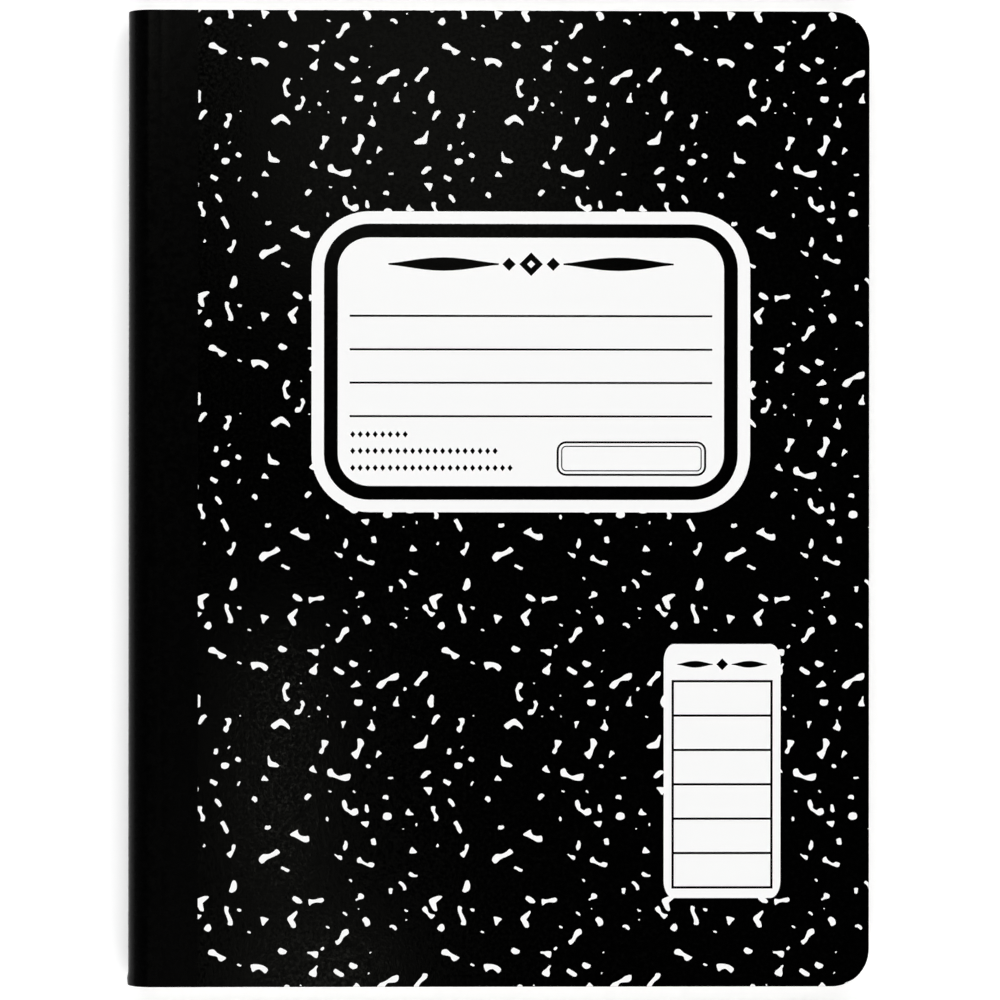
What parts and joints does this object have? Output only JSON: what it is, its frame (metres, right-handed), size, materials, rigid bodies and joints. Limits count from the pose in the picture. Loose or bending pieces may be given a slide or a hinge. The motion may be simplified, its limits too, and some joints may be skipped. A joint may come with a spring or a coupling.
{
  "type": "composition notebook",
  "caption": "Sewn notebook with a folded board cover, cloth spine tape and rounded fore-edge corners; both covers swing open.",
  "frame": {"origin": "under the middle of the closed book, on the surface that its back cover lies on", "axes": "+X from the spine to the fore-edge, +Y from the tail to the head, +Z from the back cover to the front cover"},
  "size_m": [0.1885, 0.2476, 0.012],
  "materials": {
    "pages": "uncoated writing paper",
    "cover_board": "black and white marbled print, satin",
    "tape": "black coated cloth",
    "thread": "white sewing thread"
  },
  "bodies": {
    "block": {"page_block": "pages", "spine_board": "cover_board", "spine_tape": "tape", "needle_thread": "thread", "bobbin_thread": "thread"},
    "front": {"front_cover": "cover_board", "front_tape": "tape"},
    "back": {"back_cover": "cover_board", "back_tape": "tape"}
  },
  "joints": [
    {"name": "front_cover_hinge", "type": "hinge", "parent": "block", "child": "front", "pos_m": [-0.08535, 0, 0.01215], "axis": [0, -1, 0], "range_deg": [0, 180]},
    {"name": "back_cover_hinge", "type": "hinge", "parent": "block", "child": "back", "pos_m": [-0.08535, 0, -0.00015], "axis": [0, 1, 0], "range_deg": [0, 180]}
  ]
}
